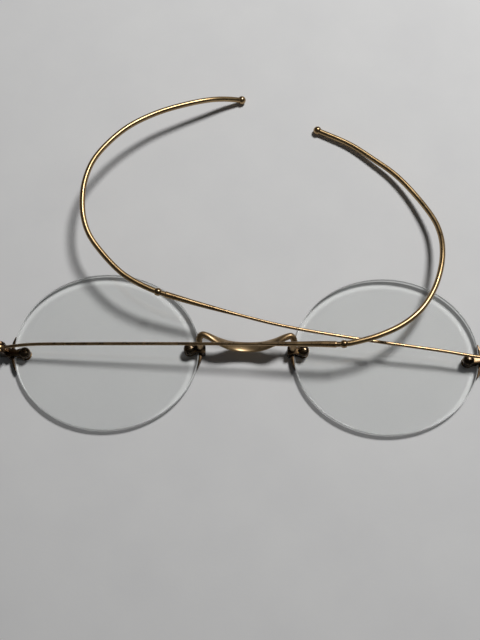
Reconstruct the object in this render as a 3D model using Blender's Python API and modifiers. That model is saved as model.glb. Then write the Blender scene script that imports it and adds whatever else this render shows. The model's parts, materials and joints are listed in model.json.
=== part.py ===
"""Antique rimless spectacles with a saddle bridge and riding-bow temples, folded.

The spectacles lie on the fronts of their lens screws and on the two ball tips, with the temples folded
over the back of the lenses. +Z is the wearer's backward direction, +Y the wearer's downward direction and
+X the wearer's left. Lengths below are in millimetres; every mesh is made in metres.
"""

import math

import bmesh
import bpy
from mathutils import Matrix, Vector

MM = 0.001

# Lenses: y is measured from the line that the hinge wires follow, just above the lens centres
PUPIL_DISTANCE = 60.5
LENS_CENTRE_Y = 0.42
LENS_HALF_WIDTH = 20.0
LENS_HALF_HEIGHT = 17.5
LENS_FRONT = 0.28
LENS_BACK = 1.75
LENS_SAG = 0.12
LENS_CHAMFER = 0.20
LENS_STEPS = 72

# Straps, shoes and lens screws
SCREW_REACH_NASAL = 17.95
SCREW_REACH_TEMPORAL = 17.6
SCREW_Y_NASAL = 0.43
SCREW_Y_TEMPORAL = -1.07
EAR_RADIUS = 1.25
EAR_BACK = 2.55
EAR_FRONT = 0.03
SLOT_BACK = 1.81
SLOT_FRONT = 0.20
NECK_HALF = 0.78
WEB_INNER = 20.72
WEB_OUTER = 21.4
WEB_HALF = 1.0
WEB_CORNER = 0.3
SHOE_GAP = 0.06
SHOE_THICK = 0.60
SHOE_UP = 3.7
SHOE_DOWN = 4.1
SHOE_FRONT = 0.25
SHOE_BACK = 1.75
SHANK_RADIUS = 0.52
SCREW_HOLE_RADIUS = 0.60
HEAD_RADIUS = 1.15
HEAD_TOP = 3.20

# Saddle bridge: the crest is a ribbon that leans towards the nose
ARM_RADIUS = 0.70
CREST_HALF_WIDTH = 1.5
CREST_HALF_THICK = 0.40
CREST_REACH = 9.0
CREST_LEAN = 30
BRIDGE_SIDES = 16
BRIDGE_STEP = 0.55
BRIDGE_HALF = (
    (10.0, 1.2, 2.65),
    (10.0, 1.22, 3.2),
    (10.15, 1.75, 4.2),
    (10.1, 2.6, 4.95),
    (9.5, 3.2, 5.4),
    (8.5, 2.95, 5.5),
    (7.3, 2.42, 5.35),
    (6.2, 1.97, 5.0),
    (5.1, 1.68, 4.45),
    (3.9, 1.5, 3.6),
    (2.2, 1.45, 2.75),
)
BRIDGE_CREST = (0.0, 1.45, 2.4)

# Hinges
HINGE_X = 52.75
HINGE_Y = -0.2
HINGE_Z = 4.3
EYE_RADIUS = 1.0
EYE_HALF = 0.45
LEAF_INNER = 0.55
LEAF_OUTER = 1.10
LEAF_RADIUS = 1.05
PIN_RADIUS = 0.36
PIN_HOLE_RADIUS = 0.42
END_PIECE_TOP = 3.15

# Temples: centre lines from the hinge to the ball tip
WIRE_RADIUS = 0.35
TAPER_RADIUS = 0.70
TAPER_LENGTH = 17.0
NECK_RADIUS = 0.56
NECK_LENGTH = 0.9
FERRULE_RADIUS = 0.85
FERRULE_LENGTH = 1.3
CABLE_RADIUS = 0.62
CABLE_BORE = 0.34
CORE_RADIUS = 0.27
BALL_RADIUS = 0.95
BALL_SEAT = 0.70
CABLE_STEP = 1.9
TEMPLE_RIGHT_SHAFT = (
    (-50.4, 0.15, 4.5),
    (-46.3, 0.55, 4.8),
    (-35.4, 0.65, 5.6),
    (-24.7, 0.65, 6.35),
    (-9.8, 0.62, 7.3),
    (0.7, 0.6, 7.9),
    (9.1, 0.57, 8.4),
    (15.4, 0.57, 8.8),
)
TEMPLE_RIGHT_FERRULE = (20.4, 0.6, 9.0)
TEMPLE_RIGHT_CABLE = (
    (23.75, 1.3, 9.1),
    (27.8, 2.6, 9.1),
    (32.9, 5.2, 8.8),
    (36.95, 8.75, 8.3),
    (40.05, 13.6, 7.6),
    (42.0, 19.3, 6.8),
    (42.65, 24.3, 5.8),
    (42.45, 27.9, 4.8),
    (41.5, 31.4, 3.9),
    (38.1, 37.5, 2.65),
    (33.6, 43.2, 1.9),
    (28.4, 47.6, 1.4),
    (23.3, 51.3, 1.1),
)
TEMPLE_RIGHT_BALL = (15.8, 54.9, BALL_RADIUS)
TEMPLE_LEFT_SHAFT = (
    (50.4, -0.5, 4.5),
    (46.5, -0.1, 4.75),
    (43.3, 0.4, 4.9),
    (36.9, 1.15, 5.3),
    (24.1, 2.55, 6.2),
    (11.3, 4.25, 7.1),
    (4.9, 5.4, 7.55),
    (-1.5, 6.85, 8.0),
    (-10.0, 8.95, 8.5),
    (-14.3, 10.1, 8.75),
)
TEMPLE_LEFT_FERRULE = (-19.05, 11.45, 9.0)
TEMPLE_LEFT_CABLE = (
    (-21.7, 12.5, 9.1),
    (-24.65, 14.0, 9.2),
    (-27.35, 15.85, 9.3),
    (-31.4, 20.0, 9.4),
    (-34.4, 24.1, 9.5),
    (-35.9, 28.1, 9.5),
    (-36.45, 32.4, 9.5),
    (-36.2, 36.9, 9.5),
    (-34.75, 41.8, 9.4),
    (-31.6, 46.6, 9.1),
    (-27.2, 51.3, 8.3),
    (-21.1, 55.6, 6.9),
    (-14.9, 58.5, 5.7),
    (-9.45, 60.6, 4.3),
    (-5.75, 61.8, 2.7),
)
TEMPLE_LEFT_BALL = (-2.05, 62.6, BALL_RADIUS)

# The middle of the folded object, front to back
MIDDLE_Y = 23.235

SIDES = (("right", -1), ("left", 1))


def clear_scene():
    for obj in list(bpy.data.objects):
        bpy.data.objects.remove(obj, do_unlink=True)


def new_collection(name):
    collection = bpy.data.collections.new(name)
    bpy.context.scene.collection.children.link(collection)
    return collection


def principled(name, colour, metallic, roughness, transmission=0.0, ior=1.5):
    material = bpy.data.materials.new(name)
    material.use_nodes = True
    shader = material.node_tree.nodes["Principled BSDF"]
    shader.inputs["Base Color"].default_value = (*colour, 1.0)
    shader.inputs["Metallic"].default_value = metallic
    shader.inputs["Roughness"].default_value = roughness
    shader.inputs["Transmission Weight"].default_value = transmission
    shader.inputs["IOR"].default_value = ior
    return material


def place(name, mesh, collection, material=None, parent=None):
    """A new object that holds this mesh, smooth except at its sharp corners."""
    mesh.name = name
    mesh.shade_smooth()
    mesh.set_sharp_from_angle(angle=math.radians(35))
    obj = bpy.data.objects.new(name, mesh)
    collection.objects.link(obj)
    obj.parent = parent
    if material:
        mesh.materials.clear()
        mesh.materials.append(material)
    return obj


def part(name, mesh, material, parent):
    return place(name, mesh, PARTS, material, parent)


def cutter(name, mesh, parent):
    obj = place(name, mesh, CUTTERS, None, parent)
    obj.hide_render = True
    obj.display_type = "WIRE"
    return obj


def boolean(obj, other, operation="DIFFERENCE"):
    modifier = obj.modifiers.new(other.name, "BOOLEAN")
    modifier.solver = "EXACT"
    modifier.operation = operation
    modifier.object = other


def bevel(obj, width, segments=2):
    modifier = obj.modifiers.new("rounded edges", "BEVEL")
    modifier.width = width * MM
    modifier.segments = segments
    modifier.limit_method = "ANGLE"
    modifier.angle_limit = math.radians(40)


def empty(name, location, parent=None):
    obj = bpy.data.objects.new(name, None)
    obj.empty_display_size = 2 * MM
    obj.location = Vector(location) * MM
    obj.parent = parent
    PARTS.objects.link(obj)
    return obj


def mesh_of(holder):
    """The mesh that a helper object makes, its doubled points merged; the helper is removed."""
    bpy.context.scene.collection.objects.link(holder)
    graph = bpy.context.evaluated_depsgraph_get()
    mesh = bpy.data.meshes.new_from_object(holder.evaluated_get(graph))
    bpy.data.objects.remove(holder, do_unlink=True)
    shape = bmesh.new()
    shape.from_mesh(mesh)
    bmesh.ops.remove_doubles(shape, verts=shape.verts, dist=1e-7)
    bmesh.ops.recalc_face_normals(shape, faces=shape.faces)
    shape.to_mesh(mesh)
    shape.free()
    return mesh


def turned(profile, steps):
    """A profile of (radius, height) pairs, listed from top to bottom, turned about Z."""
    mesh = bpy.data.meshes.new("profile")
    points = [(radius * MM, 0.0, height * MM) for radius, height in profile]
    edges = [(i, i + 1) for i in range(len(points) - 1)]
    mesh.from_pydata(points, edges, [])
    holder = bpy.data.objects.new("profile", mesh)
    modifier = holder.modifiers.new("turn", "SCREW")
    modifier.axis = "Z"
    modifier.steps = steps
    modifier.render_steps = steps
    modifier.use_merge_vertices = True
    modifier.merge_threshold = 1e-6
    return mesh_of(holder)


def cylinder(radius, top, bottom, steps=24):
    return turned(((0, top), (radius, top), (radius, bottom), (0, bottom)), steps)


def box(low, high):
    """A box between two corners."""
    mesh = bpy.data.meshes.new("box")
    shape = bmesh.new()
    size = [(b - a) * MM for a, b in zip(low, high)]
    middle = [(a + b) / 2 * MM for a, b in zip(low, high)]
    matrix = Matrix.Translation(middle) @ Matrix.Diagonal((*size, 1))
    bmesh.ops.create_cube(shape, size=1.0, matrix=matrix)
    shape.to_mesh(mesh)
    shape.free()
    return mesh


def slab(outline, low, high):
    """A flat outline of (x, y) pairs extruded between two heights."""
    curve = bpy.data.curves.new("outline", "CURVE")
    curve.dimensions = "2D"
    curve.fill_mode = "BOTH"
    curve.extrude = (high - low) / 2 * MM
    spline = curve.splines.new("POLY")
    spline.points.add(len(outline) - 1)
    for point, (x, y) in zip(spline.points, outline):
        point.co = (x * MM, y * MM, 0, 1)
    spline.use_cyclic_u = True
    mesh = mesh_of(bpy.data.objects.new("outline", curve))
    mesh.transform(Matrix.Translation((0, 0, (low + high) / 2 * MM)))
    return mesh


def tube(points, radii, sides=8):
    """A round wire through the points, with its own radius at each."""
    curve = bpy.data.curves.new("wire", "CURVE")
    curve.dimensions = "3D"
    curve.bevel_depth = MM
    curve.bevel_resolution = (sides - 4) // 2
    curve.use_fill_caps = True
    spline = curve.splines.new("POLY")
    spline.points.add(len(points) - 1)
    for point, at, radius in zip(spline.points, points, radii):
        point.co = (*(at * MM), 1)
        point.radius = radius
    return mesh_of(bpy.data.objects.new("wire", curve))


def aimed(mesh, at, along):
    """The mesh turned so that its +Z points along a direction, then moved to a place."""
    turn = along.to_track_quat("Z", "Y").to_matrix().to_4x4()
    mesh.transform(Matrix.Translation(at * MM) @ turn)
    return mesh


class Path:
    """A smooth line through points, measured by the length along it."""

    def __init__(self, points, fine=24):
        knots = [Vector(p) for p in points]
        knots = [2 * knots[0] - knots[1], *knots, 2 * knots[-1] - knots[-2]]
        self.points = []
        for before, start, end, after in zip(knots, knots[1:], knots[2:], knots[3:]):
            self.points += [self.between(before, start, end, after, i / fine) for i in range(fine)]
        self.points.append(knots[-2])
        self.lengths = [0.0]
        for a, b in zip(self.points, self.points[1:]):
            self.lengths.append(self.lengths[-1] + (b - a).length)
        self.length = self.lengths[-1]

    @staticmethod
    def between(before, start, end, after, t):
        """A point of the centripetal Catmull-Rom curve from start to end."""
        gaps = [math.sqrt((b - a).length) for a, b in ((before, start), (start, end), (end, after))]
        leave = (start - before) / gaps[0] - (end - before) / (gaps[0] + gaps[1]) + (end - start) / gaps[1]
        arrive = (end - start) / gaps[1] - (after - start) / (gaps[1] + gaps[2]) + (after - end) / gaps[2]
        leave = leave * gaps[1]
        arrive = arrive * gaps[1]
        return (
            start * (2 * t**3 - 3 * t**2 + 1)
            + leave * (t**3 - 2 * t**2 + t)
            + end * (3 * t**2 - 2 * t**3)
            + arrive * (t**3 - t**2)
        )

    def at(self, length):
        length = min(max(length, 0.0), self.length)
        for i in range(len(self.lengths) - 2):
            if self.lengths[i + 1] >= length:
                break
        share = (length - self.lengths[i]) / (self.lengths[i + 1] - self.lengths[i])
        return self.points[i].lerp(self.points[i + 1], share)

    def along(self, length):
        return (self.at(length + 0.2) - self.at(length - 0.2)).normalized()

    def section(self, start, end, step):
        count = max(2, math.ceil((end - start) / step) + 1)
        return [self.at(start + (end - start) * i / (count - 1)) for i in range(count)]


def lens_mesh():
    """A shallow meniscus: a turned disc squeezed to a short oval."""
    rim = LENS_HALF_WIDTH - LENS_CHAMFER

    def sag(radius):
        return LENS_SAG * (1 - (radius / LENS_HALF_WIDTH) ** 2)

    radii = (0, 5, 10, 15, rim)
    profile = [(radius, LENS_BACK - sag(radius)) for radius in radii]
    profile.append((LENS_HALF_WIDTH, LENS_BACK - LENS_CHAMFER))
    profile.append((LENS_HALF_WIDTH, LENS_FRONT + LENS_CHAMFER))
    profile += [(radius, LENS_FRONT - sag(radius)) for radius in reversed(radii)]
    mesh = turned(profile, LENS_STEPS)
    mesh.transform(Matrix.Diagonal((1, LENS_HALF_HEIGHT / LENS_HALF_WIDTH, 1, 1)))
    return mesh


def strap_outline(reach, outward):
    """An ear about the screw, a waist, then the web outside the lens edge; y is measured from the screw."""
    outline = []
    for i in range(15):
        angle = math.radians(50 + 260 * i / 14)
        outline.append((reach + EAR_RADIUS * math.cos(angle), EAR_RADIUS * math.sin(angle)))
    lower = (
        (reach + 1.5, -NECK_HALF),
        (WEB_INNER - 0.4, -NECK_HALF),
        (WEB_INNER, -WEB_HALF),
        (WEB_OUTER - WEB_CORNER, -WEB_HALF),
        (WEB_OUTER, WEB_CORNER - WEB_HALF),
    )
    outline += lower
    outline += [(x, -y) for x, y in reversed(lower)]
    if outward > 0:
        return outline
    return [(-x, y) for x, y in reversed(outline)]


def edge_x(y, gap):
    """The half width of the lens outline, grown by a gap, at a height."""
    return (LENS_HALF_WIDTH + gap) * math.sqrt(1 - (y / (LENS_HALF_HEIGHT + gap)) ** 2)


def shoe_outline(middle, outward):
    """A bar that hugs the lens edge and thins to a point at each end."""
    low = middle - SHOE_DOWN
    high = middle + SHOE_UP
    steps = 14
    ys = [low + (high - low) * i / steps for i in range(steps + 1)]
    outer = []
    for y in ys:
        reach = abs(y - middle) / (SHOE_DOWN if y < middle else SHOE_UP)
        outer.append((edge_x(y, SHOE_GAP) + 0.1 + (SHOE_THICK - 0.1) * (1 - reach**3), y))
    inner = [(edge_x(y, SHOE_GAP), y) for y in reversed(ys)]
    outline = outer + inner
    if outward > 0:
        return outline
    return [(-x, y) for x, y in reversed(outline)]


def lens_screw_mesh():
    profile = (
        (0, HEAD_TOP),
        (0.42, HEAD_TOP - 0.03),
        (0.78, HEAD_TOP - 0.13),
        (1.02, HEAD_TOP - 0.30),
        (HEAD_RADIUS, HEAD_TOP - 0.47),
        (HEAD_RADIUS, EAR_BACK + 0.02),
        (SHANK_RADIUS, EAR_BACK + 0.02),
        (SHANK_RADIUS, 0.06),
        (SHANK_RADIUS - 0.06, 0),
        (0, 0),
    )
    return turned(profile, 24)


def build_lens_side(side, sign):
    """One lens with its two straps, shoes and screws, all about the middle of the lens."""
    middle = empty("lens_centre_" + side, (sign * PUPIL_DISTANCE / 2, LENS_CENTRE_Y, 0), FRONT)
    lens = part("lens_" + side, lens_mesh(), GLASS, middle)
    fittings = (
        ("nasal", -sign, SCREW_REACH_NASAL, SCREW_Y_NASAL),
        ("temporal", sign, SCREW_REACH_TEMPORAL, SCREW_Y_TEMPORAL),
    )
    for end, outward, reach, height in fittings:
        name = end + "_" + side
        screw_at = (outward * reach, height, 0)
        strap_mesh = slab(strap_outline(reach, outward), EAR_FRONT, EAR_BACK)
        strap = part("strap_" + name, strap_mesh, DARK_GOLD, middle)
        strap.location.y = height * MM
        slot_ends = sorted((0, outward * WEB_INNER))
        slot_mesh = box((slot_ends[0], -5, SLOT_FRONT), (slot_ends[1], 5, SLOT_BACK))
        slot = cutter("lens_slot_" + name, slot_mesh, middle)
        slot.location.y = height * MM
        hole = cutter("screw_hole_" + name, cylinder(SCREW_HOLE_RADIUS, 5, -1), middle)
        hole.location = Vector(screw_at) * MM
        boolean(strap, slot)
        boolean(strap, hole)
        boolean(lens, hole)
        shoe_mesh = slab(shoe_outline(height, outward), SHOE_FRONT, SHOE_BACK)
        part("shoe_" + name, shoe_mesh, DARK_GOLD, middle)
        screw = part("screw_" + name, lens_screw_mesh(), DARK_STEEL, middle)
        screw.location = Vector(screw_at) * MM
        slot_mesh = box((-2, -0.12, HEAD_TOP - 0.2), (2, 0.12, HEAD_TOP + 1))
        drive = cutter("screw_slot_" + name, slot_mesh, middle)
        drive.location = Vector(screw_at) * MM
        drive.rotation_euler.z = math.radians(35 * outward + 20 * sign)
        boolean(screw, drive)


def build_bridge():
    """Goose-neck arms of round wire that widen into the leaning ribbon of the crest."""
    left = [Vector(p) for p in BRIDGE_HALF]
    right = [Vector((-x, y, z)) for x, y, z in reversed(BRIDGE_HALF)]
    path = Path([*left, Vector(BRIDGE_CREST), *right])
    lean = math.radians(CREST_LEAN)
    across = Vector((0, math.cos(lean), -math.sin(lean)))
    shape = bmesh.new()
    rings = []
    count = math.ceil(path.length / BRIDGE_STEP)
    for i in range(count + 1):
        length = path.length * i / count
        centre = path.at(length)
        along = path.along(length)
        wide = (across - along * across.dot(along)).normalized()
        thick = along.cross(wide)
        share = max(0.0, 1 - (centre.x / CREST_REACH) ** 2) ** 1.2
        half_width = ARM_RADIUS + share * (CREST_HALF_WIDTH - ARM_RADIUS)
        half_thick = ARM_RADIUS + share * (CREST_HALF_THICK - ARM_RADIUS)
        ring = []
        for j in range(BRIDGE_SIDES):
            angle = 2 * math.pi * j / BRIDGE_SIDES
            offset = wide * half_width * math.cos(angle) + thick * half_thick * math.sin(angle)
            ring.append(shape.verts.new((centre + offset) * MM))
        rings.append(ring)
    for ring, following in zip(rings, rings[1:]):
        for j in range(BRIDGE_SIDES):
            k = (j + 1) % BRIDGE_SIDES
            shape.faces.new((ring[j], ring[k], following[k], following[j]))
    shape.faces.new(list(reversed(rings[0])))
    shape.faces.new(rings[-1])
    bmesh.ops.recalc_face_normals(shape, faces=shape.faces)
    mesh = bpy.data.meshes.new("bridge")
    shape.to_mesh(mesh)
    shape.free()
    part("saddle_bridge", mesh, GOLD, FRONT)


def build_end_piece(side, sign):
    """The block outside the temporal strap and its two hinge leaves, bored for the hinge screw."""
    hinge = Vector((sign * HINGE_X, HINGE_Y, HINGE_Z))
    strap_face = PUPIL_DISTANCE / 2 + WEB_OUTER + 0.03
    block_x = sorted((sign * strap_face, sign * (HINGE_X + 0.75)))
    low = (block_x[0], HINGE_Y - LEAF_OUTER, 0.6)
    high = (block_x[1], HINGE_Y + LEAF_OUTER, END_PIECE_TOP)
    block = part("end_piece_" + side, box(low, high), GOLD, FRONT)
    bevel(block, 0.22)
    for edge, face in (("upper", -1), ("lower", 1)):
        disc = cylinder(LEAF_RADIUS, LEAF_OUTER - LEAF_INNER, 0)
        start = hinge + Vector((0, face * LEAF_INNER, 0))
        leaf_name = "leaf_" + edge + "_" + side
        leaf = cutter(leaf_name, aimed(disc, start, Vector((0, face, 0))), FRONT)
        cheek_y = sorted((HINGE_Y + face * LEAF_INNER, HINGE_Y + face * LEAF_OUTER))
        cheek_x = sorted((sign * (HINGE_X - 0.95), sign * (HINGE_X + 0.75)))
        cheek_mesh = box((cheek_x[0], cheek_y[0], 2.6), (cheek_x[1], cheek_y[1], HINGE_Z))
        cheek = cutter("cheek_" + edge + "_" + side, cheek_mesh, FRONT)
        boolean(block, cheek, "UNION")
        boolean(block, leaf, "UNION")
    bore_mesh = aimed(cylinder(PIN_HOLE_RADIUS, 2, -2), hinge, Vector((0, 1, 0)))
    bore = cutter("hinge_bore_" + side, bore_mesh, FRONT)
    boolean(block, bore)
    pin_profile = (
        (0, LEAF_OUTER + 0.36),
        (0.5, LEAF_OUTER + 0.33),
        (0.7, LEAF_OUTER + 0.18),
        (0.7, LEAF_OUTER + 0.02),
        (PIN_RADIUS, LEAF_OUTER + 0.02),
        (PIN_RADIUS, -LEAF_OUTER - 0.05),
        (PIN_RADIUS - 0.08, -LEAF_OUTER - 0.13),
        (0, -LEAF_OUTER - 0.13),
    )
    pin_mesh = aimed(turned(pin_profile, 20), hinge, Vector((0, 1, 0)))
    pin = part("hinge_screw_" + side, pin_mesh, DARK_STEEL, FRONT)
    top = HINGE_Y + LEAF_OUTER
    drive_mesh = box((-0.09, top + 0.18, -2), (0.09, top + 1, 2))
    drive = cutter("hinge_screw_slot_" + side, drive_mesh, FRONT)
    drive.location = Vector((hinge.x, 0, hinge.z)) * MM
    drive.rotation_euler.y = math.radians(25 * sign)
    boolean(pin, drive)


def shaft_radius(left_over):
    """The radius of the temple at a length before the ferrule: wire, then a taper, then the groove."""
    if left_over > TAPER_LENGTH:
        return WIRE_RADIUS
    if left_over > NECK_LENGTH:
        share = (TAPER_LENGTH - left_over) / (TAPER_LENGTH - NECK_LENGTH)
        return WIRE_RADIUS + (TAPER_RADIUS - WIRE_RADIUS) * share**0.8
    return NECK_RADIUS


def build_temple(side, sign, shaft_points, ferrule_point, cable_points, ball_point):
    """A temple, in coordinates measured from its hinge axis, so that it swings about its parent."""
    hinge = Vector((sign * HINGE_X, HINGE_Y, HINGE_Z))
    pivot = empty("temple_pivot_" + side, hinge, ORIGIN)
    knots = [Vector(p) - hinge for p in (hinge, *shaft_points, ferrule_point, *cable_points, ball_point)]
    path = Path(knots)
    ferrule_knot = len(shaft_points) + 1
    ferrule_at = path.lengths[ferrule_knot * 24]
    shaft_end = ferrule_at - FERRULE_LENGTH / 2 - 0.02
    cable_start = ferrule_at + FERRULE_LENGTH / 2 + 0.02
    cable_end = path.length - BALL_RADIUS * BALL_SEAT

    plain = [0.72 + (shaft_end - TAPER_LENGTH - 0.72) * i / 9 for i in range(10)]
    swell = [shaft_end - TAPER_LENGTH * (1 - i / 6) for i in range(1, 6)]
    groove = shaft_end - NECK_LENGTH
    collar = [groove - 0.02, groove + 0.12, shaft_end, shaft_end + 0.03, shaft_end + 0.6]
    places = [*plain, *swell, *collar]
    radii = [shaft_radius(shaft_end - length) for length in places[:-2]]
    radii += [0.42, 0.42]
    wire = part("temple_shaft_" + side, tube([path.at(length) for length in places], radii, 10), GOLD, pivot)
    pin_axis = Vector((0, 1, 0))
    eye_mesh = aimed(cylinder(EYE_RADIUS, EYE_HALF, -EYE_HALF), Vector(), pin_axis)
    eye = cutter("hinge_eye_" + side, eye_mesh, pivot)
    bore_mesh = aimed(cylinder(PIN_HOLE_RADIUS, 2, -2), Vector(), pin_axis)
    bore = cutter("eye_bore_" + side, bore_mesh, pivot)
    boolean(wire, eye, "UNION")
    boolean(wire, bore)

    half = FERRULE_LENGTH / 2
    ring_profile = (
        (0.47, half),
        (FERRULE_RADIUS - 0.22, half),
        (FERRULE_RADIUS - 0.04, half - 0.22),
        (FERRULE_RADIUS, 0),
        (FERRULE_RADIUS - 0.04, 0.22 - half),
        (FERRULE_RADIUS - 0.22, -half),
        (0.47, -half),
        (0.47, half),
    )
    ring = aimed(turned(ring_profile, 24), path.at(ferrule_at), path.along(ferrule_at))
    part("ferrule_" + side, ring, GOLD, pivot)

    centres = path.section(cable_start, cable_end, CABLE_STEP)
    sheath = part("cable_" + side, tube(centres, [CABLE_RADIUS] * len(centres), 12), CABLE_GOLD, pivot)
    extra = [path.at(cable_start) - path.along(cable_start) * 0.5]
    beyond = [path.at(cable_end) + path.along(cable_end) * 0.5]
    bore_points = [*extra, *centres, *beyond]
    bore_mesh = tube(bore_points, [CABLE_BORE] * len(bore_points), 8)
    bore = cutter("cable_bore_" + side, bore_mesh, pivot)
    boolean(sheath, bore)
    core_start = centres[0] - path.along(cable_start) * 0.55
    core_end = centres[-1] + path.along(cable_end) * 0.42
    core_points = [core_start, *centres, core_end]
    core_mesh = tube(core_points, [CORE_RADIUS] * len(core_points), 8)
    part("core_wire_" + side, core_mesh, DARK_STEEL, pivot)

    ball_mesh = bpy.data.meshes.new("ball")
    shape = bmesh.new()
    bmesh.ops.create_uvsphere(shape, u_segments=24, v_segments=14, radius=BALL_RADIUS * MM)
    shape.to_mesh(ball_mesh)
    shape.free()
    ball = part("ball_tip_" + side, ball_mesh, GOLD, pivot)
    ball.location = knots[-1] * MM
    socket_mesh = aimed(cylinder(0.36, 0.5, -2), path.at(cable_end), path.along(cable_end))
    socket = cutter("ball_socket_" + side, socket_mesh, pivot)
    seat_mesh = aimed(cylinder(2, 0.02, -2), path.at(cable_end), path.along(cable_end))
    seat = cutter("ball_seat_" + side, seat_mesh, pivot)
    boolean(ball, seat)
    boolean(ball, socket)


clear_scene()
PARTS = new_collection("eyeglasses")
CUTTERS = new_collection("cutters")
CUTTERS.hide_render = True

GOLD = principled("antique_gold", (0.78, 0.56, 0.28), 1.0, 0.30)
DARK_GOLD = principled("tarnished_gold", (0.24, 0.17, 0.11), 1.0, 0.42)
CABLE_GOLD = principled("cable_gold", (0.70, 0.50, 0.26), 1.0, 0.38)
DARK_STEEL = principled("dark_steel", (0.16, 0.13, 0.11), 1.0, 0.40)
GLASS = principled("lens_glass", (0.97, 0.99, 0.98), 0.0, 0.02, transmission=1.0, ior=1.52)

ORIGIN = empty("eyeglasses_origin", (0, -MIDDLE_Y, 0))
FRONT = empty("front", (0, 0, 0), ORIGIN)
for side_name, side_sign in SIDES:
    build_lens_side(side_name, side_sign)
    build_end_piece(side_name, side_sign)
build_bridge()
build_temple(
    "right",
    -1,
    TEMPLE_RIGHT_SHAFT,
    TEMPLE_RIGHT_FERRULE,
    TEMPLE_RIGHT_CABLE,
    TEMPLE_RIGHT_BALL,
)
build_temple(
    "left",
    1,
    TEMPLE_LEFT_SHAFT,
    TEMPLE_LEFT_FERRULE,
    TEMPLE_LEFT_CABLE,
    TEMPLE_LEFT_BALL,
)
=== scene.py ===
"""Looks for the folded rimless spectacles: coiled ear hooks, worn gold, dark tarnish and drilled lenses."""

import json
import math

import bmesh
import bpy
from mathutils import Matrix, Vector


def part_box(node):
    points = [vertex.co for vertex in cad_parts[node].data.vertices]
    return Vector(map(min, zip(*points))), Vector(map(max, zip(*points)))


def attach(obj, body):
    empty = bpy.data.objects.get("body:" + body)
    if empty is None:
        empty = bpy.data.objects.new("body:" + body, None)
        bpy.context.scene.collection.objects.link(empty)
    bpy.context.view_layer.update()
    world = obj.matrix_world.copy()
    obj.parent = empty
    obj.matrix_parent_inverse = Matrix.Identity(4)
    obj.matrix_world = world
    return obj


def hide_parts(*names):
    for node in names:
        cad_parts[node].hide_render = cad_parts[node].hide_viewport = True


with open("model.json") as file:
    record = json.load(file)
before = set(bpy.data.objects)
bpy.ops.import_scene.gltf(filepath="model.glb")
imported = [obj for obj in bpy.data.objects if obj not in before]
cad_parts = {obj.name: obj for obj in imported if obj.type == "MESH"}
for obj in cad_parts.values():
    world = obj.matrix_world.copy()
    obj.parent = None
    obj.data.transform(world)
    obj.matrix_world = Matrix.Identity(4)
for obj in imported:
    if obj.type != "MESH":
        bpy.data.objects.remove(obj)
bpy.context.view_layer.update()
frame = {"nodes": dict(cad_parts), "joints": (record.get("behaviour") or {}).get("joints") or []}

MM = 0.001
SIDES = ("right", "left")
NODES = frame["nodes"]

# Every y is measured from a datum line; the lens centres lie this far past it, in millimetres
LENS_CENTRE_Y = 0.42
LENS_BOX = {side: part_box("lens_" + side) for side in SIDES}
DATUM_Y = (LENS_BOX["left"][0].y + LENS_BOX["left"][1].y) / 2 - LENS_CENTRE_Y * MM
HINGES = {
    "right": Vector(frame["joints"][0]["pos_m"]),
    "left": Vector(frame["joints"][1]["pos_m"]),
}

# Lenses, in millimetres; the rim is the ring just inside the edge, whose glass paints a bright band of light
# behind it, standing in for the light that a bevelled lens gathers there
LENS_SAG = 0.12
LENS_CHAMFER = 0.24
LENS_CORNER = 0.04
LENS_RIM = 1.0
LENS_RINGS = 13
LENS_STEPS = 192
SCREW_HOLE_RADIUS = 0.60

# Lens faces whose normals have less z than this belong to the ground edge
EDGE_NORMAL_Z = 0.9

# Lens screws, in millimetres and degrees: the crown's points are (radius, depth under the top) from the
# middle of the head down to the shank, and the foot's are (radius, height)
SCREW_CROWN = (
    (0, 0),
    (0.30, 0.012),
    (0.58, 0.06),
    (0.82, 0.15),
    (1.00, 0.27),
    (1.11, 0.41),
    (1.15, 0.52),
    (1.15, 0.58),
    (1.12, 0.60),
    (0.52, 0.60),
)
SCREW_FOOT = ((0.52, 0.06), (0.50, 0.02), (0.46, 0.0), (0, 0))
SCREW_SLOT_HALF_WIDTH = 0.10
SCREW_SLOT_DEPTH = 0.2
SCREW_SLOT_TURN = 35
SCREW_SIDE_TURN = 20

# Rounding on the edges of the fittings, in millimetres
STRAP_ROUND = 0.07
SHOE_ROUND = 0.03
END_PIECE_ROUND = 0.05
HINGE_SCREW_ROUND = 0.03

# Round parts are turned in this many steps
TURN_STEPS = 48

# Temples, in millimetres: the routes are those of the CAD model, with y measured from the datum line.
# A swell is the power by which a wire widens.
WIRE_RADIUS = 0.35
TAPER_RADIUS = 0.70
TAPER_LENGTH = 17.0
TAPER_SWELL = 0.8
LIP_LENGTH = 0.12
LIP_ROUND = 0.1
NECK_RADIUS = 0.56
NECK_LENGTH = 0.9
SHAFT_START = 0.75
SHAFT_STEPS = 60
SHAFT_SIDES = 24
FERRULE_RADIUS = 0.85
FERRULE_LENGTH = 1.3
FERRULE_BORE = 0.5
FERRULE_ROUND = 0.24
FERRULE_ROUND_HALF = 0.58
FERRULE_GAP = 0.02
CABLE_RADIUS = 0.62
COIL_PITCH = 0.30
COIL_DEPTH = 0.009
COIL_SIDES = 20
EYE_RADIUS = 1.0
EYE_HALF = 0.45
EYE_ROUND = 0.14
EYE_CORNER = 0.04
EYE_LAND = 0.05
PIN_HOLE_RADIUS = 0.42
BALL_RADIUS = 0.95
BALL_SEAT = 0.70
BALL_RINGS = 24
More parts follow.
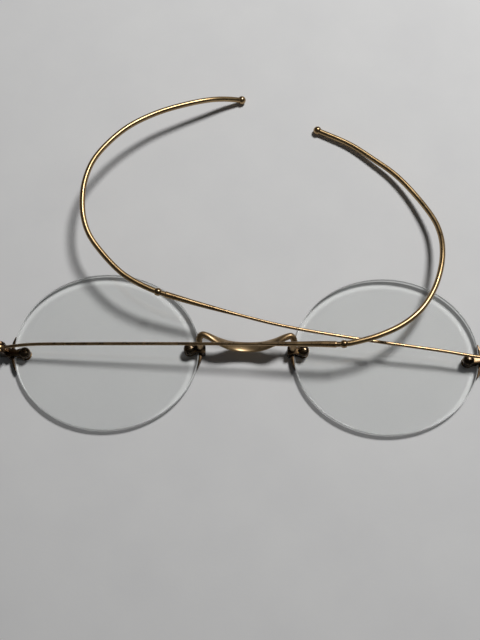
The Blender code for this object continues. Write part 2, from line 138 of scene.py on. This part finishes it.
ROUTES = {
    "right": {
        "shaft": (
            (-50.4, 0.15, 4.5),
            (-46.3, 0.55, 4.8),
            (-35.4, 0.65, 5.6),
            (-24.7, 0.65, 6.35),
            (-9.8, 0.62, 7.3),
            (0.7, 0.6, 7.9),
            (9.1, 0.57, 8.4),
            (15.4, 0.57, 8.8),
        ),
        "ferrule": (20.4, 0.6, 9.0),
        "cable": (
            (23.75, 1.3, 9.1),
            (27.8, 2.6, 9.1),
            (32.9, 5.2, 8.8),
            (36.95, 8.75, 8.3),
            (40.05, 13.6, 7.6),
            (42.0, 19.3, 6.8),
            (42.65, 24.3, 5.8),
            (42.45, 27.9, 4.8),
            (41.5, 31.4, 3.9),
            (38.1, 37.5, 2.65),
            (33.6, 43.2, 1.9),
            (28.4, 47.6, 1.4),
            (23.3, 51.3, 1.1),
        ),
        "ball": (15.8, 54.9, BALL_RADIUS),
    },
    "left": {
        "shaft": (
            (50.4, -0.5, 4.5),
            (46.5, -0.1, 4.75),
            (43.3, 0.4, 4.9),
            (36.9, 1.15, 5.3),
            (24.1, 2.55, 6.2),
            (11.3, 4.25, 7.1),
            (4.9, 5.4, 7.55),
            (-1.5, 6.85, 8.0),
            (-10.0, 8.95, 8.5),
            (-14.3, 10.1, 8.75),
        ),
        "ferrule": (-19.05, 11.45, 9.0),
        "cable": (
            (-21.7, 12.5, 9.1),
            (-24.65, 14.0, 9.2),
            (-27.35, 15.85, 9.3),
            (-31.4, 20.0, 9.4),
            (-34.4, 24.1, 9.5),
            (-35.9, 28.1, 9.5),
            (-36.45, 32.4, 9.5),
            (-36.2, 36.9, 9.5),
            (-34.75, 41.8, 9.4),
            (-31.6, 46.6, 9.1),
            (-27.2, 51.3, 8.3),
            (-21.1, 55.6, 6.9),
            (-14.9, 58.5, 5.7),
            (-9.45, 60.6, 4.3),
            (-5.75, 61.8, 2.7),
        ),
        "ball": (-2.05, 62.6, BALL_RADIUS),
    },
}

# Saddle bridge: the crest is a ribbon that leans towards the nose
ARM_RADIUS = 0.70
CREST_HALF_WIDTH = 1.5
CREST_HALF_THICK = 0.40
CREST_REACH = 9.0
CREST_LEAN = 30
CREST_SWELL = 1.2
BRIDGE_SIDES = 36
BRIDGE_RINGS = 220
BRIDGE_HALF = (
    (10.0, 1.2, 2.65),
    (10.0, 1.22, 3.2),
    (10.15, 1.75, 4.2),
    (10.1, 2.6, 4.95),
    (9.5, 3.2, 5.4),
    (8.5, 2.95, 5.5),
    (7.3, 2.42, 5.35),
    (6.2, 1.97, 5.0),
    (5.1, 1.68, 4.45),
    (3.9, 1.5, 3.6),
    (2.2, 1.45, 2.75),
)
BRIDGE_CREST = (0.0, 1.45, 2.4)

# Each metal's bright, middle and tarnished colours
GOLD_COLOURS = ((0.42, 0.285, 0.145), (0.29, 0.185, 0.09), (0.06, 0.038, 0.02))
SADDLE_COLOURS = ((0.45, 0.32, 0.175), (0.32, 0.215, 0.112), (0.07, 0.045, 0.025))
CABLE_COLOURS = ((0.44, 0.305, 0.155), (0.31, 0.205, 0.098), (0.06, 0.038, 0.02))
TARNISH_COLOURS = ((0.115, 0.074, 0.038), (0.07, 0.045, 0.024), (0.025, 0.017, 0.01))
SCREW_COLOURS = ((0.115, 0.08, 0.046), (0.065, 0.046, 0.028), (0.024, 0.018, 0.012))

# The share of the lamp's light that reaches what lies behind the glass: the ground edge stops most of it,
# and the rim passes more than all of it, painted light: a bright band standing in for the light that a bevel
# gathers there
CLEAR_SHADOW = 0.95
RIM_PAINTED_CAUSTIC_SHARE = 1.25
EDGE_SHADOW = 0.20
CROWN_GLASS_IOR = 1.523

# Stage, lamp and camera: metres, degrees and, for the lens, millimetres, with y measured from the datum line
PAPER_HALF_SIZE = 0.45
LAMP_SIZE = 0.32
LAMP_ENERGY = 1.80
LAMP_SPREAD = 56
LAMP_PLACE = (0.443, 0.638, 1.200)
LAMP_AIM = (0.15, 0.25, 0)
ROOM_COLOUR = (0.95, 0.97, 1.0, 1)
ROOM_LIGHT = 0.04
ROOM_SEEN = 0.50
CAMERA_LENS = 54.1
CAMERA_PLACE = (-0.0004, -0.0558, 0.2022)
CAMERA_PITCH = 17.6
CAMERA_TURN = 1.0


# Shapes


def from_datum(place):
    """A place in metres, with y measured from the datum line, in the frame."""
    x, y, z = place
    return Vector((x, DATUM_Y + y, z))


def framed(point):
    """A point in millimetres, with y measured from the datum line, in the frame."""
    return Vector((point[0] * MM, point[1] * MM + DATUM_Y, point[2] * MM))


def smooth_mesh(mesh, angle=35):
    mesh.shade_smooth()
    mesh.set_sharp_from_angle(angle=math.radians(angle))
    return mesh


def new_piece(name, mesh, body, slot, material, *nodes):
    """A piece that rides on a body, stands for CAD nodes and takes its finish from its material; the slot is
    not used.
    """
    mesh.name = name
    piece = bpy.data.objects.new(name, mesh)
    bpy.context.scene.collection.objects.link(piece)
    mesh.materials.clear()
    mesh.materials.append(material)
    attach(piece, body)
    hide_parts(*nodes)
    return piece


def evaluated(holder):
    """The mesh that a helper object makes; the helper is removed."""
    bpy.context.scene.collection.objects.link(holder)
    graph = bpy.context.evaluated_depsgraph_get()
    mesh = bpy.data.meshes.new_from_object(holder.evaluated_get(graph))
    bpy.data.objects.remove(holder, do_unlink=True)
    shape = bmesh.new()
    shape.from_mesh(mesh)
    bmesh.ops.remove_doubles(shape, verts=shape.verts, dist=1e-7)
    bmesh.ops.recalc_face_normals(shape, faces=shape.faces)
    shape.to_mesh(mesh)
    shape.free()
    return mesh


def turned(profile, steps=TURN_STEPS):
    """A profile of (radius, height) pairs in millimetres, from top to bottom, turned about Z."""
    mesh = bpy.data.meshes.new("profile")
    corners = [(radius * MM, 0, height * MM) for radius, height in profile]
    edges = [(i, i + 1) for i in range(len(profile) - 1)]
    mesh.from_pydata(corners, edges, [])
    holder = bpy.data.objects.new("profile", mesh)
    modifier = holder.modifiers.new("turn", "SCREW")
    modifier.steps = steps
    modifier.render_steps = steps
    modifier.use_merge_vertices = True
    modifier.merge_threshold = 1e-6
    return evaluated(holder)


def box_mesh(low, high):
    """A box between two corners in millimetres."""
    mesh = bpy.data.meshes.new("box")
    shape = bmesh.new()
    middle = [(a + b) / 2 * MM for a, b in zip(low, high)]
    size = [(b - a) * MM for a, b in zip(low, high)]
    bmesh.ops.create_cube(shape, size=1, matrix=Matrix.Translation(middle) @ Matrix.Diagonal((*size, 1)))
    shape.to_mesh(mesh)
    shape.free()
    return mesh


def cut(mesh, *cutters):
    """The mesh with other meshes cut out of it."""
    holder = bpy.data.objects.new("cut", mesh)
    helpers = []
    for cutter in cutters:
        helper = bpy.data.objects.new("cutter", cutter)
        bpy.context.scene.collection.objects.link(helper)
        helpers.append(helper)
        modifier = holder.modifiers.new("cut", "BOOLEAN")
        modifier.solver = "EXACT"
        modifier.object = helper
    result = evaluated(holder)
    for helper in helpers:
        bpy.data.objects.remove(helper, do_unlink=True)
    return result


def aimed(mesh, at, along):
    """The mesh with its Z turned to a direction, at a place."""
    turn = along.to_track_quat("Z", "Y").to_matrix().to_4x4()
    mesh.transform(Matrix.Translation(at) @ turn)
    return mesh


class Path:
    """A smooth line through points, measured by the length along it in metres."""

    FINE = 24

    def __init__(self, points):
        knots = [2 * points[0] - points[1], *points, 2 * points[-1] - points[-2]]
        self.points = []
        for span in zip(knots, knots[1:], knots[2:], knots[3:]):
            self.points += [self.between(*span, i / self.FINE) for i in range(self.FINE)]
        self.points.append(knots[-2])
        self.lengths = [0.0]
        for a, b in zip(self.points, self.points[1:]):
            self.lengths.append(self.lengths[-1] + (b - a).length)
        self.length = self.lengths[-1]

    @staticmethod
    def between(before, start, end, after, t):
        """The point at a share t of the way from start to end, on a centripetal Catmull-Rom curve."""
        gaps = [math.sqrt((b - a).length) for a, b in ((before, start), (start, end), (end, after))]
        leave = (start - before) / gaps[0] - (end - before) / (gaps[0] + gaps[1]) + (end - start) / gaps[1]
        arrive = (end - start) / gaps[1] - (after - start) / (gaps[1] + gaps[2]) + (after - end) / gaps[2]
        return (
            start * (2 * t**3 - 3 * t**2 + 1)
            + leave * gaps[1] * (t**3 - 2 * t**2 + t)
            + end * (3 * t**2 - 2 * t**3)
            + arrive * gaps[1] * (t**3 - t**2)
        )

    def at(self, length):
        """The point at a length from the start."""
        length = min(max(length, 0.0), self.length)
        low, high = 0, len(self.lengths) - 1
        while high - low > 1:
            middle = (low + high) // 2
            if self.lengths[middle] > length:
                high = middle
            else:
                low = middle
        share = (length - self.lengths[low]) / (self.lengths[high] - self.lengths[low])
        return self.points[low].lerp(self.points[high], share)

    def along(self, length):
        """The direction of travel at a length from the start."""
        reach = 0.2 * MM
        return (self.at(length + reach) - self.at(length - reach)).normalized()


def skinned(shape, rings):
    """A closed mesh whose skin joins each ring of vertices to the next."""
    for ring, following in zip(rings, rings[1:]):
        for i, vertex in enumerate(ring):
            j = (i + 1) % len(ring)
            shape.faces.new((vertex, ring[j], following[j], following[i]))
    shape.faces.new(list(reversed(rings[0])))
    shape.faces.new(rings[-1])
    bmesh.ops.recalc_face_normals(shape, faces=shape.faces)
    mesh = bpy.data.meshes.new("skin")
    shape.to_mesh(mesh)
    shape.free()
    return mesh


def swept(path, lengths, radius_of, sides):
    """A closed round skin along a path: radius_of(length, angle) gives its radius in metres."""
    shape = bmesh.new()
    normal = path.along(lengths[0]).orthogonal().normalized()
    rings = []
    for length in lengths:
        along = path.along(length)
        normal = (normal - along * normal.dot(along)).normalized()
        side = along.cross(normal)
        centre = path.at(length)
        ring = []
        for i in range(sides):
            angle = 2 * math.pi * i / sides
            out = normal * math.cos(angle) + side * math.sin(angle)
            ring.append(shape.verts.new(centre + out * radius_of(length, angle)))
        rings.append(ring)
    return skinned(shape, rings)


# Materials


class Nodes:
    """Short calls for building one material's nodes."""

    def __init__(self, name):
        self.material = bpy.data.materials.new(name)
        self.material.use_nodes = True
        self.tree = self.material.node_tree
        self.shader = self.tree.nodes["Principled BSDF"]
        self.place = self.add("ShaderNodeTexCoord").outputs["Object"]

    def add(self, kind, **settings):
        node = self.tree.nodes.new(kind)
        for name, value in settings.items():
            setattr(node, name, value)
        return node

    def link(self, out, into):
        self.tree.links.new(out, into)

    def noise(self, scale, detail=4.0, roughness=0.55, place=None):
        node = self.add("ShaderNodeTexNoise")
        node.inputs["Scale"].default_value = scale
        node.inputs["Detail"].default_value = detail
        node.inputs["Roughness"].default_value = roughness
        self.link(place or self.place, node.inputs["Vector"])
        return node.outputs["Fac"]

    def stretched(self, scale):
        node = self.add("ShaderNodeMapping")
        node.inputs["Scale"].default_value = scale
        self.link(self.place, node.inputs["Vector"])
        return node.outputs["Vector"]

    def ramp(self, value, *stops):
        node = self.add("ShaderNodeValToRGB")
        while len(node.color_ramp.elements) < len(stops):
            node.color_ramp.elements.new(0.5)
        for element, (position, colour) in zip(node.color_ramp.elements, stops):
            element.position = position
            element.color = (*colour, 1)
        self.link(value, node.inputs["Fac"])
        return node.outputs["Color"]

    def range(self, value, low, high, from_low=0.3, from_high=0.7):
        node = self.add("ShaderNodeMapRange")
        node.inputs["From Min"].default_value = from_low
        node.inputs["From Max"].default_value = from_high
        node.inputs["To Min"].default_value = low
        node.inputs["To Max"].default_value = high
        self.link(value, node.inputs["Value"])
        return node.outputs["Result"]

    def mix(self, factor, a, b):
        node = self.add("ShaderNodeMix", data_type="RGBA")
        self.link(factor, node.inputs["Factor"])
        self.link(a, node.inputs["A"])
        self.link(b, node.inputs["B"])
        return node.outputs["Result"]

    def bump(self, height, strength, distance):
        node = self.add("ShaderNodeBump")
        node.inputs["Strength"].default_value = strength
        node.inputs["Distance"].default_value = distance
        self.link(height, node.inputs["Height"])
        return node.outputs["Normal"]


def worn_metal(name, colours, roughness, tarnish, lacquer):
    """Gold-filled metal: soft colour drift, darker tarnish in patches, fine handling marks.

    A higher tarnish value leaves fewer patches, and lacquer is the strength of a thin clear coat.
    """
    bright, mid, dark = colours
    n = Nodes(name)
    n.shader.inputs["Metallic"].default_value = 1.0
    n.shader.inputs["Coat Weight"].default_value = lacquer
    n.shader.inputs["Coat Roughness"].default_value = 0.16
    base = n.ramp(n.noise(160, 3), (0.32, mid), (0.68, bright))
    stained = n.ramp(n.noise(420, 5), (0.0, dark), (1.0, mid))
    amount = n.range(n.noise(700, 6, 0.62), 0.0, 1.0, tarnish, tarnish + 0.2)
    n.link(n.mix(amount, base, stained), n.shader.inputs["Base Color"])
    n.link(n.range(n.noise(500, 5), roughness - 0.05, roughness + 0.08), n.shader.inputs["Roughness"])
    n.link(n.bump(n.noise(3200, 5, 0.6), 0.03, 0.00001), n.shader.inputs["Normal"])
    return n.material


def glass(name, shadow, ground=False):
    """Crown glass, frosted where it is ground; shadow is the share of lamp light that it lets through, and a
    share above one paints extra light behind the glass.
    """
    n = Nodes(name)
    n.shader.inputs["Base Color"].default_value = (0.97, 0.985, 0.975, 1)
    n.shader.inputs["IOR"].default_value = CROWN_GLASS_IOR
    if ground:
        n.shader.inputs["Transmission Weight"].default_value = 0.6
        n.link(n.range(n.noise(2400, 4), 0.30, 0.50), n.shader.inputs["Roughness"])
        n.link(n.bump(n.noise(5200, 3), 0.25, 0.00002), n.shader.inputs["Normal"])
    else:
        n.shader.inputs["Transmission Weight"].default_value = 1.0
        smudges = n.noise(1.0, 5, 0.6, n.stretched((140, 210, 140)))
        n.link(n.range(smudges, 0.0, 0.035, 0.50, 0.72), n.shader.inputs["Roughness"])
    clear = n.add("ShaderNodeBsdfTransparent")
    clear.inputs["Color"].default_value = (shadow, shadow, shadow, 1)
    mixer = n.add("ShaderNodeMixShader")
    n.link(n.add("ShaderNodeLightPath").outputs["Is Shadow Ray"], mixer.inputs["Fac"])
    n.link(n.shader.outputs["BSDF"], mixer.inputs[1])
    n.link(clear.outputs["BSDF"], mixer.inputs[2])
    n.link(mixer.outputs["Shader"], n.tree.nodes["Material Output"].inputs["Surface"])
    return n.material


GOLD = worn_metal("worn_gold", GOLD_COLOURS, 0.27, 0.54, 0.25)
SADDLE = worn_metal("saddle_gold", SADDLE_COLOURS, 0.40, 0.56, 0.25)
CABLE = worn_metal("coiled_gold", CABLE_COLOURS, 0.30, 0.56, 0.25)
TARNISH = worn_metal("tarnished_gold", TARNISH_COLOURS, 0.28, 0.46, 0.1)
SCREW = worn_metal("dark_screw", SCREW_COLOURS, 0.20, 0.50, 0.15)
CLEAR = glass("lens_glass", CLEAR_SHADOW)
PAINTED_CAUSTIC_RIM_GLASS = glass("lens_rim_glass_painted_caustic", RIM_PAINTED_CAUSTIC_SHARE)
EDGE = glass("lens_ground_edge", EDGE_SHADOW, True)


# Pieces


def build_lens(side):
    """A meniscus lens, drilled for its two screws, with a ground edge."""
    low, high = LENS_BOX[side]
    centre = (low + high) / 2
    half_width = (high.x - low.x) / 2 / MM
    half_height = (high.y - low.y) / 2 / MM
    back = high.z / MM
    front = low.z / MM + LENS_SAG

    def sag(radius):
        return LENS_SAG * (1 - (radius / half_width) ** 2)

    rim = half_width - LENS_CHAMFER
    inner = rim - LENS_RIM
    radii = [inner * i / LENS_RINGS for i in range(LENS_RINGS + 1)] + [rim]
    profile = [(radius, back - sag(radius)) for radius in radii]
    profile.append((half_width - LENS_CORNER, back - 0.6 * LENS_CHAMFER))
    profile.append((half_width, back - 1.2 * LENS_CHAMFER))
    profile.append((half_width, front + 1.2 * LENS_CHAMFER))
    profile.append((half_width - LENS_CORNER, front + 0.6 * LENS_CHAMFER))
    profile += [(radius, front - sag(radius)) for radius in reversed(radii)]
    mesh = turned(profile, LENS_STEPS)
    mesh.transform(Matrix.Diagonal((1, half_height / half_width, 1, 1)))
    mesh.transform(Matrix.Translation((centre.x, centre.y, 0)))
    drills = []
    for end in ("nasal", "temporal"):
        screw_low, screw_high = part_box(f"screw_{end}_{side}")
        middle = (screw_low + screw_high) / 2
        drill = turned(((0, 5), (SCREW_HOLE_RADIUS, 5), (SCREW_HOLE_RADIUS, -1), (0, -1)))
        drill.transform(Matrix.Translation((middle.x, middle.y, 0)))
        drills.append(drill)
    mesh = smooth_mesh(cut(mesh, *drills), 25)
    piece = new_piece(f"lens_glass_{side}", mesh, "front", "lens_glass", CLEAR, f"lens_{side}")
    piece.visible_diffuse = False
    # The rim ring's glass paints a bright band of light on what lies behind it
    mesh.materials.append(PAINTED_CAUSTIC_RIM_GLASS)
    mesh.materials.append(EDGE)
    for face in mesh.polygons:
        out = Vector((face.center.x - centre.x, (face.center.y - centre.y) * half_width / half_height))
        if abs(face.normal.z) < EDGE_NORMAL_Z:
            face.material_index = 2
        elif face.normal.z > 0 and out.length > inner * MM:
            face.material_index = 1


def softened(node, name, body, slot, material, width):
    """A CAD node's own shape with its edges rounded over."""
    mesh = NODES[node].data.copy()
    shape = bmesh.new()
    shape.from_mesh(mesh)
    bmesh.ops.remove_doubles(shape, verts=shape.verts, dist=1e-7)
    bmesh.ops.dissolve_limit(shape, angle_limit=math.radians(2), verts=shape.verts, edges=shape.edges)
    shape.to_mesh(mesh)
    shape.free()
    holder = bpy.data.objects.new("soften", mesh)
    modifier = holder.modifiers.new("round", "BEVEL")
    modifier.width = width * MM
    modifier.segments = 3
    modifier.limit_method = "ANGLE"
    modifier.angle_limit = math.radians(38)
    return new_piece(name, smooth_mesh(evaluated(holder), 40), body, slot, material, node)


def build_lens_screw(end, side):
    """A cheese-head screw with a worn slot."""
    node = f"screw_{end}_{side}"
    low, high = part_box(node)
    middle = (low + high) / 2
    top = high.z / MM
    profile = [(radius, top - depth) for radius, depth in SCREW_CROWN]
    profile += SCREW_FOOT
    slot_floor = top - SCREW_SLOT_DEPTH
    slot = box_mesh((-2, -SCREW_SLOT_HALF_WIDTH, slot_floor), (2, SCREW_SLOT_HALF_WIDTH, top + 1))
    to_left = 1 if side == "left" else -1
    outward = to_left if end == "temporal" else -to_left
    turn = SCREW_SLOT_TURN * outward + SCREW_SIDE_TURN * to_left
    slot.transform(Matrix.Rotation(math.radians(turn), 4, "Z"))
    mesh = cut(turned(profile), slot)
    mesh.transform(Matrix.Translation((middle.x, middle.y, 0)))
    return new_piece(f"lens_screw_{end}_{side}", smooth_mesh(mesh), "front", "dark_steel", SCREW, node)


def build_bridge():
    """Goose-neck arms of round wire that widen into the leaning ribbon of the crest."""
    left = [framed(p) for p in BRIDGE_HALF]
    right = [framed((-x, y, z)) for x, y, z in reversed(BRIDGE_HALF)]
    path = Path([*left, framed(BRIDGE_CREST), *right])
    lean = math.radians(CREST_LEAN)
    across = Vector((0, math.cos(lean), -math.sin(lean)))
    shape = bmesh.new()
    rings = []
    for i in range(BRIDGE_RINGS + 1):
        length = path.length * i / BRIDGE_RINGS
        centre = path.at(length)
        along = path.along(length)
        wide = (across - along * across.dot(along)).normalized()
        thick = along.cross(wide)
        share = max(0.0, 1 - (centre.x / (CREST_REACH * MM)) ** 2) ** CREST_SWELL
        half_width = ARM_RADIUS + share * (CREST_HALF_WIDTH - ARM_RADIUS)
        half_thick = ARM_RADIUS + share * (CREST_HALF_THICK - ARM_RADIUS)
        ring = []
        for j in range(BRIDGE_SIDES):
            angle = 2 * math.pi * j / BRIDGE_SIDES
            offset = wide * half_width * math.cos(angle) + thick * half_thick * math.sin(angle)
            ring.append(shape.verts.new(centre + offset * MM))
        rings.append(ring)
    mesh = skinned(shape, rings)
    return new_piece("bridge_saddle", smooth_mesh(mesh, 50), "front", "antique_gold", SADDLE, "saddle_bridge")


def shaft_radius(before_ferrule):
    """The temple's radius at a length before the ferrule: wire, taper, then a turned groove."""
    left = before_ferrule / MM
    if left > TAPER_LENGTH:
        return WIRE_RADIUS * MM
    if left > NECK_LENGTH:
        share = (TAPER_LENGTH - left) / (TAPER_LENGTH - NECK_LENGTH)
        radius = WIRE_RADIUS + (TAPER_RADIUS - WIRE_RADIUS) * share**TAPER_SWELL
        lip = min(1.0, (left - NECK_LENGTH) / LIP_LENGTH)
        return (radius - LIP_ROUND * (1 - lip) ** 2) * MM
    return NECK_RADIUS * MM


def build_shaft(side, path, shaft_end):
    """The straight wire from the hinge's eye, with its taper and the groove before the ferrule."""
    start = SHAFT_START * MM
    taper = shaft_end - TAPER_LENGTH * MM
    neck = shaft_end - NECK_LENGTH * MM
    lengths = [start + (taper - start) * i / SHAFT_STEPS for i in range(SHAFT_STEPS)]
    lengths += [taper + (neck - taper) * i / SHAFT_STEPS for i in range(SHAFT_STEPS - 2)]
    lengths += [neck + step * MM for step in (-0.3, -0.12, -0.06, -0.01, 0.01, 0.3, 0.6)]
    lengths.append(shaft_end)

    def radius(length, angle):
        return shaft_radius(shaft_end - length)

    mesh = smooth_mesh(swept(path, lengths, radius, SHAFT_SIDES), 40)
    new_piece("temple_wire_" + side, mesh, "temple_" + side, "antique_gold", GOLD, "temple_shaft_" + side)


def build_eye(side):
    """The hinge's eye, which turns on the hinge screw."""
    upper = (
        (EYE_RADIUS - EYE_ROUND, EYE_HALF),
        (EYE_RADIUS - EYE_CORNER, EYE_HALF - EYE_LAND),
        (EYE_RADIUS, EYE_HALF - EYE_ROUND),
    )
    lower = [(radius, -height) for radius, height in reversed(upper)]
    bore = (PIN_HOLE_RADIUS, EYE_HALF)
    profile = (bore, *upper, *lower, (PIN_HOLE_RADIUS, -EYE_HALF), bore)
    mesh = smooth_mesh(aimed(turned(profile), HINGES[side], Vector((0, 1, 0))))
    new_piece("hinge_eye_" + side, mesh, "temple_" + side, "antique_gold", GOLD, "temple_shaft_" + side)


def build_ferrule(side, path, at):
    """The ring between the shaft and the ear hook, with a rounded outside."""
    half = FERRULE_LENGTH / 2
    shoulder = FERRULE_RADIUS - FERRULE_ROUND
    profile = [(FERRULE_BORE, half), (shoulder, half)]
    for i in range(13):
        angle = math.radians(60 - 10 * i)
        radius = FERRULE_RADIUS - FERRULE_ROUND * (1 - math.cos(angle))
        profile.append((radius, FERRULE_ROUND_HALF * math.sin(angle)))
    profile += [(shoulder, -half), (FERRULE_BORE, -half), (FERRULE_BORE, half)]
    mesh = smooth_mesh(aimed(turned(profile), path.at(at), path.along(at)))
    new_piece("ferrule_ring_" + side, mesh, "temple_" + side, "antique_gold", GOLD, "ferrule_" + side)


def build_coil(side, path, start, end):
    """The ear hook: one wire wound in a close coil round the core wire."""
    pitch = COIL_PITCH * MM
    count = round((end - start) / pitch * 6)
    lengths = [start + (end - start) * i / count for i in range(count + 1)]

    def coil(length, angle):
        turn = (length - start) / pitch - angle / (2 * math.pi)
        across_wire = 2 * (turn % 1.0) - 1
        return (CABLE_RADIUS - COIL_DEPTH * across_wire**2) * MM

    mesh = smooth_mesh(swept(path, lengths, coil, COIL_SIDES), 60)
    new_piece("ear_hook_coil_" + side, mesh, "temple_" + side, "cable_gold", CABLE, "cable_" + side)


def build_ball(side, path):
    """The ball at the end of the ear hook, with a flat seat on the cable."""
    seat = math.asin(BALL_SEAT) - 0.02
    profile = [(0, BALL_RADIUS)]
    for i in range(1, BALL_RINGS + 1):
        angle = math.pi / 2 - (math.pi / 2 + seat) * i / BALL_RINGS
        profile.append((BALL_RADIUS * math.cos(angle), BALL_RADIUS * math.sin(angle)))
    profile.append((0, -BALL_RADIUS * math.sin(seat)))
    mesh = smooth_mesh(aimed(turned(profile), path.at(path.length), path.along(path.length - 0.3 * MM)))
    new_piece("ball_" + side, mesh, "temple_" + side, "antique_gold", GOLD, "ball_tip_" + side)


def build_temple(side):
    """A temple along its route: eye and shaft, ferrule, coiled ear hook and ball."""
    route = ROUTES[side]
    knots = [HINGES[side], *map(framed, route["shaft"]), framed(route["ferrule"])]
    knots += [*map(framed, route["cable"]), framed(route["ball"])]
    path = Path(knots)
    ferrule_at = path.lengths[(len(route["shaft"]) + 1) * Path.FINE]
    ferrule_reach = (FERRULE_LENGTH / 2 + FERRULE_GAP) * MM
    cable_end = path.length - BALL_RADIUS * BALL_SEAT * MM
    build_shaft(side, path, ferrule_at - ferrule_reach)
    build_eye(side)
    build_ferrule(side, path, ferrule_at)
    build_coil(side, path, ferrule_at + ferrule_reach, cable_end)
    build_ball(side, path)


for side in SIDES:
    build_lens(side)
    for end in ("nasal", "temporal"):
        for fitting, rounding in (("strap", STRAP_ROUND), ("shoe", SHOE_ROUND)):
            node = f"{fitting}_{end}_{side}"
            softened(node, "lens_" + node, "front", "tarnished_gold", TARNISH, rounding)
        build_lens_screw(end, side)
    softened(f"end_piece_{side}", f"hinge_block_{side}", "front", "antique_gold", TARNISH, END_PIECE_ROUND)
    softened(f"hinge_screw_{side}", f"hinge_pin_{side}", "front", "dark_steel", SCREW, HINGE_SCREW_ROUND)
    NODES["core_wire_" + side].data.materials.clear()
    NODES["core_wire_" + side].data.materials.append(SCREW)
    build_temple(side)
build_bridge()


# Stage, light and camera


def paper_material():
    n = Nodes("pale_paper")
    colour = n.ramp(n.noise(60, 6), (0.3, (0.78, 0.78, 0.785)), (0.7, (0.82, 0.82, 0.82)))
    n.link(colour, n.shader.inputs["Base Color"])
    n.shader.inputs["Roughness"].default_value = 0.7
    n.shader.inputs["Specular IOR Level"].default_value = 0.25
    n.link(n.bump(n.noise(1600, 5, 0.6), 0.10, 0.0001), n.shader.inputs["Normal"])
    return n.material


def build_stage():
    mesh = bpy.data.meshes.new("paper")
    shape = bmesh.new()
    bmesh.ops.create_grid(shape, x_segments=1, y_segments=1, size=PAPER_HALF_SIZE)
    shape.to_mesh(mesh)
    shape.free()
    mesh.materials.append(paper_material())
    paper = bpy.data.objects.new("paper", mesh)
    bpy.context.scene.collection.objects.link(paper)


def build_lights():
    """One far disk lamp, and a pale room that is seen in full but lights the object only faintly."""
    light = bpy.data.lights.new("key", "AREA")
    light.shape = "DISK"
    light.size = LAMP_SIZE
    light.energy = LAMP_ENERGY
    light.spread = math.radians(LAMP_SPREAD)
    light.color = (1.0, 0.995, 0.985)
    key = bpy.data.objects.new("key", light)
    bpy.context.scene.collection.objects.link(key)
    key.location = from_datum(LAMP_PLACE)
    key.rotation_euler = (key.location - from_datum(LAMP_AIM)).to_track_quat("Z", "Y").to_euler()
    key.visible_camera = False

    world = bpy.data.worlds.new("studio")
    bpy.context.scene.world = world
    world.use_nodes = True
    nodes = world.node_tree.nodes
    links = world.node_tree.links
    dim = nodes["Background"]
    dim.inputs["Color"].default_value = ROOM_COLOUR
    dim.inputs["Strength"].default_value = ROOM_LIGHT
    wall = nodes.new("ShaderNodeBackground")
    wall.inputs["Color"].default_value = ROOM_COLOUR
    wall.inputs["Strength"].default_value = ROOM_SEEN
    rays = nodes.new("ShaderNodeLightPath")
    seen = nodes.new("ShaderNodeMath")
    seen.operation = "MAXIMUM"
    links.new(rays.outputs["Is Camera Ray"], seen.inputs[0])
    links.new(rays.outputs["Is Transmission Ray"], seen.inputs[1])
    mixer = nodes.new("ShaderNodeMixShader")
    links.new(seen.outputs["Value"], mixer.inputs["Fac"])
    links.new(dim.outputs["Background"], mixer.inputs[1])
    links.new(wall.outputs["Background"], mixer.inputs[2])
    links.new(mixer.outputs["Shader"], nodes["World Output"].inputs["Surface"])


def build_camera():
    camera = bpy.data.cameras.new("camera")
    camera.sensor_width = 36
    camera.lens = CAMERA_LENS
    camera.clip_start = 0.005
    camera.clip_end = 20
    obj = bpy.data.objects.new("camera", camera)
    bpy.context.scene.collection.objects.link(obj)
    obj.location = from_datum(CAMERA_PLACE)
    obj.rotation_euler = (math.radians(CAMERA_PITCH), 0, math.radians(CAMERA_TURN))
    bpy.context.scene.camera = obj


bpy.context.scene.view_settings.view_transform = "Standard"
build_stage()
build_lights()
build_camera()
